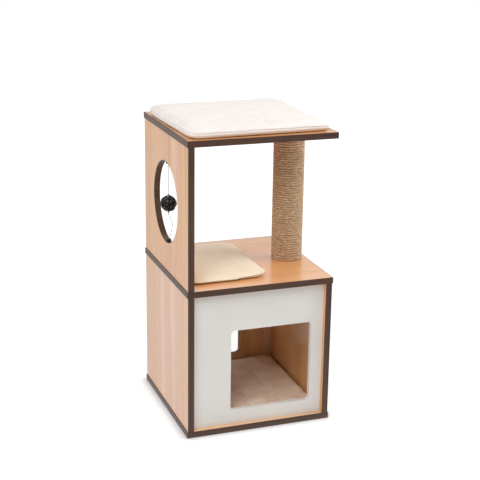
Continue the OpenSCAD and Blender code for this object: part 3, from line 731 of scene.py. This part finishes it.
def blown_block(name, low, high, corner, voxel):
    """A block with round corners, a little smaller than its space, swollen by pressure."""
    thickness = high.z - low.z
    swell, travel = SWELL_SHARE * thickness, TRAVEL_SHARE * thickness
    size = high - low - Vector((2 * swell, 2 * swell, swell))
    pad = round_block(name, (low + high) / 2, size, corner, 8)
    modify(pad, "even_squares", "REMESH", mode="VOXEL", voxel_size=voxel)
    apply_modifiers(pad)
    before = points_of(pad)
    stuffing = pad.modifiers.new("stuffing", "CLOTH")
    put(stuffing.settings, use_pressure=True, uniform_pressure_force=PRESSURE)
    stuffing.settings.effector_weights.gravity = 0
    put(stuffing.point_cache, frame_start=1, frame_end=SWELL_FRAMES)
    for step in range(1, SWELL_FRAMES + 1):
        bpy.context.scene.frame_set(step)
    apply_modifiers(pad)
    bpy.context.scene.frame_set(1)
    move = points_of(pad) - before
    reach = np.maximum(np.linalg.norm(move, axis=1, keepdims=True), 1e-9)
    set_points(pad, before + move * np.minimum(1, travel / reach))
    modify(pad, "soft_skin", "SMOOTH", factor=0.5, iterations=SOFTENING)
    modify(pad, "finer_squares", "SUBSURF", levels=1, render_levels=1)
    apply_modifiers(pad)
    return pad


# %% Fit a cushion to its space
RIM_W = 16 * MM
CROWN_POWER = 2.5


def fit_to_space(pad, low, high, sink, edge_share, crown_run, sag, tuck):
    """Stretches a pad to its space, pressed flat on its tapes and lower towards its edges and corners.
    Its rim has no tape under it: it sags towards the board, and its lower edge is tucked in."""
    points = points_of(pad)
    least, most = points.min(0), points.max(0)
    floor_level = np.array([low.x, low.y, low.z - sink])
    points = floor_level + (points - least) / (most - least) * (np.array(high) - floor_level)
    points[:, 2] = np.maximum(points[:, 2], low.z)
    middle = (low + high) / 2
    inside = np.minimum(points - np.array(low), np.array(high) - points)[:, :2]
    crown = np.prod(1 - (1 - np.clip(inside / crown_run, 0, 1)) ** CROWN_POWER, axis=1)
    rim = 1 - np.clip(inside / RIM_W, 0, 1)
    height = (points[:, 2] - low.z) * (edge_share + (1 - edge_share) * crown)
    underside = np.clip(1 - 2 * height / (high.z - low.z), 0, 1)
    points[:, 2] = low.z + height - sag * rim.max(axis=1) * underside
    inward = np.sign(np.array(middle)[:2] - points[:, :2])
    points[:, :2] += inward * tuck * rim * (underside ** 2)[:, None]
    set_points(pad, points)


# %% [markdown]
# ### Seams, and what use does to a cushion
# A cover is sewn from a top and a side panel, and the seam between them pulls a groove that wanders a
# little. The faces along it are cut finer first, so that so narrow a groove has something to bend, and a
# thread is laid into it. Then the cover settles: its sides draw in or bulge between the corners, its top
# waves, and it lies slightly turned, with the foam inside it. At the right front corner the thin shelf pad
# lifts its rim off the board.

# %% Sew a seam round a cover
SEAM_W = 1.2 * MM
SEAM_REACH = 3.5 * SEAM_W
SEAM_WANDER = 0.3 * MM
THREAD_D = 1.0 * MM
THREAD_POINTS = 180


def seam_height(x, y, low, high, share):
    """Height of the seam at a place on the cover's side."""
    around = np.arctan2(y - (low.y + high.y) / 2, x - (low.x + high.x) / 2)
    wander = np.sin(7 * around + 1) + 0.8 * np.sin(17 * around) + 0.6 * np.sin(29 * around + 2)
    return low.z + share * (high.z - low.z) + SEAM_WANDER * wander


def sew(pad, low, high, share, depth):
    """Draws a groove into the side of a cover, and returns the thread that lies in it."""
    make_active(pad)
    bpy.ops.object.mode_set(mode="EDIT")
    bpy.ops.mesh.select_mode(type="FACE")
    bpy.ops.mesh.select_all(action="DESELECT")
    bpy.ops.object.mode_set(mode="OBJECT")
    level = low.z + share * (high.z - low.z)
    for face in pad.data.polygons:
        face.select = abs(face.center.z - level) < SEAM_REACH and abs(face.normal.z) < 0.85
    bpy.ops.object.mode_set(mode="EDIT")
    bpy.ops.mesh.subdivide(number_cuts=2)
    bpy.ops.mesh.select_mode(type="EDGE")
    bpy.ops.object.mode_set(mode="OBJECT")
    points = points_of(pad)
    outward = np.zeros(points.size)
    pad.data.vertices.foreach_get("normal", outward)
    outward = outward.reshape(-1, 3) * (1, 1, 0)
    off_seam = points[:, 2] - seam_height(points[:, 0], points[:, 1], low, high, share)
    set_points(pad, points - outward * (depth * np.exp(-(off_seam / SEAM_W) ** 2))[:, None])
    bpy.ops.object.shade_smooth()

    skin = BVHTree.FromPolygons([v.co for v in pad.data.vertices], [f.vertices for f in pad.data.polygons])
    middle = (low + high) / 2
    route = []
    for i in range(THREAD_POINTS):
        angle = 2 * math.pi * i / THREAD_POINTS
        way = Vector((math.cos(angle), math.sin(angle), 0))
        height = seam_height(middle.x + way.x, middle.y + way.y, low, high, share)
        start = Vector((middle.x, middle.y, height)) + way * (high - low).length
        route.append(skin.ray_cast(start, -way)[0] + way * 0.1 * THREAD_D)
    return round_cord(pad.name + "_seam_thread", route, THREAD_D, closed=True)


# %% Let a cover settle
WAVE_MM = 70
LIFT_W = 32 * MM
CURL_BACK = 2.2


def ease(value, start, end):
    """Rises smoothly from 0 at the start to 1 at the end."""
    share = np.clip((value - start) / (end - start), 0, 1)
    return share * share * (3 - 2 * share)


def turn_flat(points, low, high, turn, shift):
    """Turns and shifts a cushion on its board."""
    middle = np.array((low + high) / 2)
    spin = np.array(Matrix.Rotation(math.radians(turn), 3, "Z"))
    return (points - middle) @ spin.T + middle + np.array([shift[0], shift[1], 0]) * MM


def settle_cover(piece, low, high, turn, shift, pull, wave, swell=0, thin=0, lift=0):
    """The sides are pulled in, or out where pull is below 0, the top swells and waves, the right front
    corner thins or lifts, and it all turns. Lengths are in millimetres."""
    points = points_of(piece)
    middle, half = np.array((low + high) / 2), np.array((high - low) / 2)
    thickness = high.z - low.z
    share = (points - middle) / half
    for axis, other in ((0, 1), (1, 0)):
        between_corners = np.clip(1 - share[:, other] ** 2, 0, 1)
        points[:, axis] = middle[axis] + share[:, axis] * (half[axis] - pull[axis] * MM * between_corners)
    height = (points[:, 2] - low.z) * (1 + swell * MM / thickness)
    height *= 1 - thin * ease(share[:, 0], 0.3, 1.0) * ease(-share[:, 1], -0.9, 0.7)
    waves = np.array([noise.noise(Vector((x, y, low.z)) * per_size(WAVE_MM)) for x, y in points[:, :2]])
    height *= 1 + wave * MM / thickness * waves
    corner = 0.35 * ease(share[:, 0], 0.15, 0.25) + 0.65 * ease(share[:, 0], 0.2, 1.0)
    near_edge = np.clip(1 - (1 - np.abs(share[:, :2])) * half[:2] / LIFT_W, 0, None)
    rim = ease(np.hypot(near_edge[:, 0], near_edge[:, 1]), 0.55, 1.0)
    lifted = lift * MM * corner * rim * ease(-share[:, 1], 0.45, 0.9)
    points[:, 2] = low.z + height + lifted
    points[:, 1] += CURL_BACK * lifted
    set_points(piece, turn_flat(points, low, high, turn, shift))


# %% The three cushions in their spaces
cushion_plans = {
    "top_cushion": dict(
        name="plush_top_cushion", cover=white_plush, thread=cream_thread, slot="white_plush", fill=0.75,
        corner=26, voxel=5, sink=0.3, edge=1.0, crown_run=45, sag=1.6, tuck=3.5, seam=0.42, seam_depth=1.8,
        settled=dict(turn=1.6, shift=(-4, -7), pull=(-3, -4), wave=1.8, swell=2.5, thin=0.15)),
    "shelf_cushion": dict(
        name="plush_shelf_pad", cover=beige_plush, thread=fawn_thread, slot="beige_plush", fill=0.45,
        corner=32, voxel=4, sink=0.35, edge=0.62, crown_run=45, sag=0.4, tuck=7, seam=0.3, seam_depth=0.5,
        settled=dict(turn=0, shift=(0, 1.5), pull=(-2, 0.5), wave=0.6, lift=4.2)),
    "den_cushion": dict(
        name="plush_den_cushion", cover=den_plush_painted_shade, thread=fawn_thread, slot="beige_plush", fill=0.65,
        corner=22, voxel=5, sink=0.3, edge=0.86, crown_run=70, sag=2.0, tuck=3, seam=0.45, seam_depth=1.2,
        settled=dict(turn=0, shift=(0, 0), pull=(0.5, 0.5), wave=2.2)),
}
for node, plan in cushion_plans.items():
    low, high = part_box(node)
    pad = blown_block(plan["name"], low, high, plan["corner"] * MM, plan["voxel"] * MM)
    fit_to_space(pad, low, high, plan["sink"] * (high.z - low.z), plan["edge"], plan["crown_run"] * MM,
                 plan["sag"] * MM, plan["tuck"] * MM)
    thread = sew(pad, low, high, plan["seam"], plan["seam_depth"] * MM)
    for piece, finish in ((pad, plan["cover"]), (thread, plan["thread"])):
        settle_cover(piece, low, high, **plan["settled"])
        finish_piece(piece, "frame", finish, plan["slot"], node)

# %% Foam slabs inside the covers
# Open-cell foam: cream, dull, pitted, with edges that are worn a little round
foam_block = fitting_finish(
    "polyurethane_foam_cut", ("#E0D5AE", "#F3EBCB"), 1.4, (0.9, 1.0), depth_mm=0.5)
SLAB_CORNER = 10 * MM
WORN_EDGE = 0.6 * MM
for cushion, plan in cushion_plans.items():
    node = cushion + "_foam"
    low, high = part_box(node)
    slab = round_block("cut_" + node, (low + high) / 2, high - low, SLAB_CORNER, 6)
    modify(slab, "worn_edges", "BEVEL", width=WORN_EDGE, segments=2, limit_method="ANGLE",
           angle_limit=math.radians(50))
    apply_modifiers(slab)
    lain = plan["settled"]
    set_points(slab, turn_flat(points_of(slab), *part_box(cushion), lain["turn"], lain["shift"]))
    finish_piece(slab, "frame", foam_block, "foam", node)

# %% [markdown]
# ## The woven ball
# The ball is wound from flat strips of black raffia, each laid round the ball like a belt, over and under
# the others, with a few loose ends. One strip is modelled: a ring of vertices drawn out to a band, given a
# thickness. Each copy is waved and rolled, so that it dives under its neighbours, and turned its own way,
# clear of the cord. A dark wound core, a tall ring round the cord, closes the view between the strips.

# %% Material of the raffia strips
# Dyed paper raffia: black with a brown cast, twisted and creased, with narrow glints along the folds. The
# pale grey flecks along each strip are painted glints: light caught on the strips, painted into their
# colour
CREASE_MM, CREASE_RUN_MM = 0.8, 12
GLINT_MM, GLINT_RUN_MM = 4, 6
raffia, tree, shader = new_material("raffia_strip_dyed_black", Specular_IOR_Level=0.2)
along = add(tree, "ShaderNodeUVMap", uv_map="along_the_strip").outputs["UV"]
creases = run_tone(along, CREASE_MM, CREASE_RUN_MM, 3.0)
black = ramp(creases, [(0.35, "#060504"), (0.6, "#120F0D"), (0.72, "#352F29")])
# Painted glints: pale grey flecks along the strips, set into their colour where light would catch them
painted_glints = ranged(run_tone(along, GLINT_MM, GLINT_RUN_MM, 1.0), 0.0, 1.0, 0.6, 0.66)
black_with_painted_glints = add(tree, "ShaderNodeMix", {0: painted_glints, 6: black, 7: hex_colour("#B5AA9C")},
                 data_type="RGBA").outputs[2]
wire(shader, black_with_painted_glints, (creases, 0.7, 0.3), (creases, 0.5, 0.28))

# %% One strip, as a belt round the ball
STRIP_W = 2.4 * MM
STRIP_T = 0.5 * MM
STRIP_STEPS = 72
BALL_R = (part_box("toy_ball")[1].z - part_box("toy_ball")[0].z) / 2

start_fresh()
bpy.ops.mesh.primitive_circle_add(vertices=STRIP_STEPS, radius=BALL_R, location=(0, 0, -STRIP_W / 2))
strip = settle(name_piece("raffia_strip"))
bpy.ops.object.mode_set(mode="EDIT")
bpy.ops.mesh.select_all(action="SELECT")
bpy.ops.mesh.extrude_region_move(TRANSFORM_OT_translate={"value": (0, 0, STRIP_W)})
bpy.ops.mesh.select_all(action="SELECT")
bpy.ops.mesh.subdivide(number_cuts=1)
bpy.ops.mesh.select_all(action="SELECT")
bpy.ops.mesh.normals_make_consistent(inside=False)
bpy.ops.object.mode_set(mode="OBJECT")
strip_map = strip.data.uv_layers.new(name="along_the_strip")
for face in strip.data.polygons:
    spots = [strip.data.vertices[v].co for v in face.vertices]
    angles = [math.atan2(spot.y, spot.x) for spot in spots]
    across_seam = max(angles) - min(angles) > math.pi
    for loop, spot, angle in zip(face.loop_indices, spots, angles):
        lap = 2 * math.pi if across_seam and angle < 0 else 0
        strip_map.data[loop].uv = ((angle + lap) * BALL_R, spot.z)
modify(strip, "strip_thickness", "SOLIDIFY", thickness=STRIP_T, offset=-1)
apply_modifiers(strip)
print("strip faces:", len(strip.data.polygons))

# %% Many strips round the ball
STRIP_COUNT = 34
MAP_SHIFT = 0.15
CORD_CLEAR = 3.2 * MM
FULL_TURN = 6.28
draw = np.random.default_rng(7)
strips = []
while len(strips) < STRIP_COUNT:
    axis = Vector(draw.normal(size=3)).normalized()
    offset = draw.uniform(-0.45, 0.45) * BALL_R
    if min(abs(BALL_R * axis.z - offset), abs(BALL_R * axis.z + offset)) < CORD_CLEAR:
        continue
    belt = strip.copy()
    belt.data = strip.data.copy()
    bpy.context.collection.objects.link(belt)
    points = points_of(belt)
    angle = np.arctan2(points[:, 1], points[:, 0])
    dive = draw.uniform(0.5, 1.0) * np.sin(draw.integers(4, 8) * angle + draw.uniform(0, FULL_TURN))
    roll = draw.uniform(0.3, 0.8) * np.sin(draw.integers(2, 6) * angle + draw.uniform(0, FULL_TURN))
    across = points[:, 2] * draw.uniform(0.6, 1.1)
    reach = np.hypot(points[:, 0], points[:, 1]) + (dive - draw.uniform(0.6, 2.4)) * MM
    reach += across * np.sin(roll)
    points[:, 2] = offset + across * np.cos(roll)
    inside = np.sqrt(np.maximum(BALL_R ** 2 - points[:, 2] ** 2, 1e-9)) / BALL_R
    points[:, 0] = reach * inside * np.cos(angle)
    points[:, 1] = reach * inside * np.sin(angle)
    spin = axis.to_track_quat("Z", "Y").to_matrix()
    set_points(belt, points @ np.array(spin).T + np.array(ball_middle))
    # Each strip has its own stretch of the pattern, so that no two carry the same painted glints
    for mapped in belt.data.uv_layers["along_the_strip"].data:
        mapped.uv.x += MAP_SHIFT * len(strips)
    strips.append(belt)
bpy.data.objects.remove(strip)
print("strips:", len(strips))

# %% Loose ends
END_COUNT = 12
END_STEPS = 6
END_LENGTH = 9 * MM
END_ROOT = 1.2 * MM


def strip_layer(piece):
    """The piece's map, named as the one that runs along the strips."""
    layer = piece.data.uv_layers.active or piece.data.uv_layers.new()
    layer.name = "along_the_strip"
    return layer.data


for i in range(END_COUNT):
    start_fresh()
    bpy.ops.mesh.primitive_grid_add(x_subdivisions=END_STEPS, y_subdivisions=2, size=1, location=(0, 0, 0))
    end = name_piece("raffia_end")
    points = points_of(end)
    run = points[:, 0] + 0.5
    end_w = STRIP_W * draw.uniform(0.5, 0.8)
    lift = draw.uniform(1.2, 2.6) * MM
    flat = np.zeros_like(points)
    flat[:, 0] = (run - 0.5) * END_LENGTH
    flat[:, 1] = points[:, 1] * end_w * (1 - 0.5 * run)
    flat[:, 2] = BALL_R - END_ROOT + lift * run ** 2 - flat[:, 0] ** 2 / (2 * BALL_R)
    end_map = strip_layer(end)
    for loop in end.data.loops:
        end_map[loop.index].uv = flat[loop.vertex_index][:2]
    outward = Vector((draw.normal(), draw.normal(), draw.uniform(-0.8, 0.8))).normalized()
    twist = Matrix.Rotation(draw.uniform(0, FULL_TURN), 3, "Z").to_quaternion()
    spin = outward.to_track_quat("Z", "Y") @ twist
    set_points(end, flat @ np.array(spin.to_matrix()).T + np.array(ball_middle))
    modify(end, "strip_thickness", "SOLIDIFY", thickness=STRIP_T)
    apply_modifiers(end)
    strips.append(end)
print("loose ends:", END_COUNT)

# %% A wound core, and one ball
CORE_R, CORE_TUBE_R = 9 * MM, 6.6 * MM
CORE_TALL = 2.1
CORE_BUMP_MM = 3
start_fresh()
bpy.ops.mesh.primitive_torus_add(location=ball_middle, major_segments=48, minor_segments=24,
                                 major_radius=CORE_R, minor_radius=CORE_TUBE_R)
core = name_piece("raffia_core")
core.scale.z = CORE_TALL
settle(core)
core_points = points_of(core)
for i, point in enumerate(core_points):
    out = Vector(point) - ball_middle
    core_points[i] += np.array(out.normalized()) * noise.noise(out * per_size(CORE_BUMP_MM)) * MM
set_points(core, core_points)
core_map = strip_layer(core)
for loop in core.data.loops:
    x, y, z = core_points[loop.vertex_index]
    core_map[loop.index].uv = (x + z, y)
make_active(core)
for belt in strips:
    belt.select_set(True)
bpy.ops.object.join()
ball = name_piece("raffia_ball_woven")
bpy.ops.object.shade_smooth_by_angle(angle=math.radians(50))
finish_piece(ball, "toy_ball", raffia, "black_rattan", "toy_ball")

# %% [markdown]
# ## Floor, light and background
# The object stands on a plain pale floor in soft studio light: a white cove, brighter at the horizon than
# overhead, a large soft lamp in front, above and to the left, and a weaker one on the right. The camera
# sees cove and floor as plain white, but the floor still takes the object's soft shadow, and a short dark
# one close to the base, where little of the sky is open to it. Towards the camera a studio is dark, both as
# light and as what a glossy face mirrors: that keeps the edge bands dark at the front, and pale at the side
# where they mirror the cove, and leaves the inside of the den in warm bounced light.

# %% Surround
HORIZON_LIGHT = 0.95
ZENITH_LIGHT = 0.38
CAMERA_SIDE = 0.3
WHITE = hex_colour("#FFFFFF")
world = bpy.data.worlds.new("studio_surround")
bpy.context.scene.world = world
world.use_nodes = True
tree = world.node_tree
tree.nodes.clear()


def seen_by(tree, plain, shown, mirrored):
    """One shader for rays that light the object, one for the camera, one for what glossy faces mirror."""
    rays = add(tree, "ShaderNodeLightPath").outputs
    clear = add(tree, "ShaderNodeMath", {0: rays["Is Camera Ray"], 1: rays["Is Transmission Ray"]},
                operation="MAXIMUM").outputs[0]
    glossy = add(tree, "ShaderNodeMixShader", {0: rays["Is Glossy Ray"], 1: plain, 2: mirrored}).outputs[0]
    return add(tree, "ShaderNodeMixShader", {0: clear, 1: glossy, 2: shown}).outputs[0]


def light_of(tree, kind, strength):
    """A white light of this strength."""
    return add(tree, kind, {"Color": WHITE, "Strength": strength}).outputs[0]


def times(first, second):
    """Two values multiplied."""
    return add(first.id_data, "ShaderNodeMath", {0: first, 1: second}, operation="MULTIPLY").outputs[0]


way = add(tree, "ShaderNodeTexCoord").outputs["Generated"]
way = add(tree, "ShaderNodeSeparateXYZ", {"Vector": way}).outputs
cove = ranged(way["Z"], HORIZON_LIGHT, ZENITH_LIGHT)
dark_front = ranged(way["Y"], CAMERA_SIDE, 1.0, -0.7, 0.0)
lit, shown, mirrored = (light_of(tree, "ShaderNodeBackground", strength)
                        for strength in (times(cove, dark_front), 1.0, dark_front))
add(tree, "ShaderNodeOutputWorld", {"Surface": seen_by(tree, lit, shown, mirrored)})
print("light at the horizon and overhead:", HORIZON_LIGHT, ZENITH_LIGHT)

# %% Floor
FLOOR_R = 9
CONTACT_REACH = 24 * MM
CONTACT_POWER = 2.0
NEAR_GLOW, NEAR_M = 0.58, 0.25
FAR_GLOW, FAR_M = 0.85, 2.5
start_fresh()
bpy.ops.mesh.primitive_circle_add(vertices=96, radius=FLOOR_R, fill_type="NGON", location=(0, 0, 0))
floor = name_piece("studio_floor")
floor_white = bpy.data.materials.new("studio_floor_white")
floor_white.use_nodes = True
tree = floor_white.node_tree
tree.nodes.clear()
place = own_place(tree)
away = add(tree, "ShaderNodeVectorMath", {0: place}, operation="LENGTH").outputs["Value"]
forth = add(tree, "ShaderNodeSeparateXYZ", {"Vector": place}).outputs["Y"]
whiter = ranged(away, NEAR_GLOW, FAR_GLOW, NEAR_M, FAR_M)
open_sky = add(tree, "ShaderNodeAmbientOcclusion", {"Distance": CONTACT_REACH}, samples=8).outputs["AO"]
contact = add(tree, "ShaderNodeMath", {0: open_sky, 1: CONTACT_POWER}, operation="POWER").outputs[0]
dark_front = ranged(forth, CAMERA_SIDE, 0.95, -1.8, -0.3)
plain = add(tree, "ShaderNodeBsdfDiffuse", {"Color": hex_colour("#F2F2F2")}).outputs[0]
dimmed = add(tree, "ShaderNodeBsdfDiffuse", {"Color": hex_colour("#CACACA")}).outputs[0]
glow = light_of(tree, "ShaderNodeEmission", times(whiter, contact))
shown = add(tree, "ShaderNodeAddShader", {0: dimmed, 1: glow}).outputs[0]
mirrored = light_of(tree, "ShaderNodeEmission", dark_front)
add(tree, "ShaderNodeOutputMaterial", {"Surface": seen_by(tree, plain, shown, mirrored)})
floor.data.materials.append(floor_white)
print("floor radius in metres:", FLOOR_R)

# %% Lamps
lamp_aim = Vector((0, 0, 0.4))
for name, lamp_place, lamp_size, watts in (
    ("soft_main_lamp", Vector((-1.35, -1.85, 2.8)), 2.4, 62),
    ("soft_right_lamp", Vector((2.0, -0.5, 1.7)), 1.4, 26),
):
    start_fresh()
    lamp_turn = (lamp_place - lamp_aim).to_track_quat("Z", "Y").to_euler()
    bpy.ops.object.light_add(type="AREA", location=lamp_place, rotation=lamp_turn)
    bpy.context.object.name = name
    put(bpy.context.object.data, shape="DISK", size=lamp_size, energy=watts)
    print(name, "distance in metres:", round((lamp_place - lamp_aim).length, 2))

# %% Colours as written
bpy.context.scene.view_settings.view_transform = "Standard"
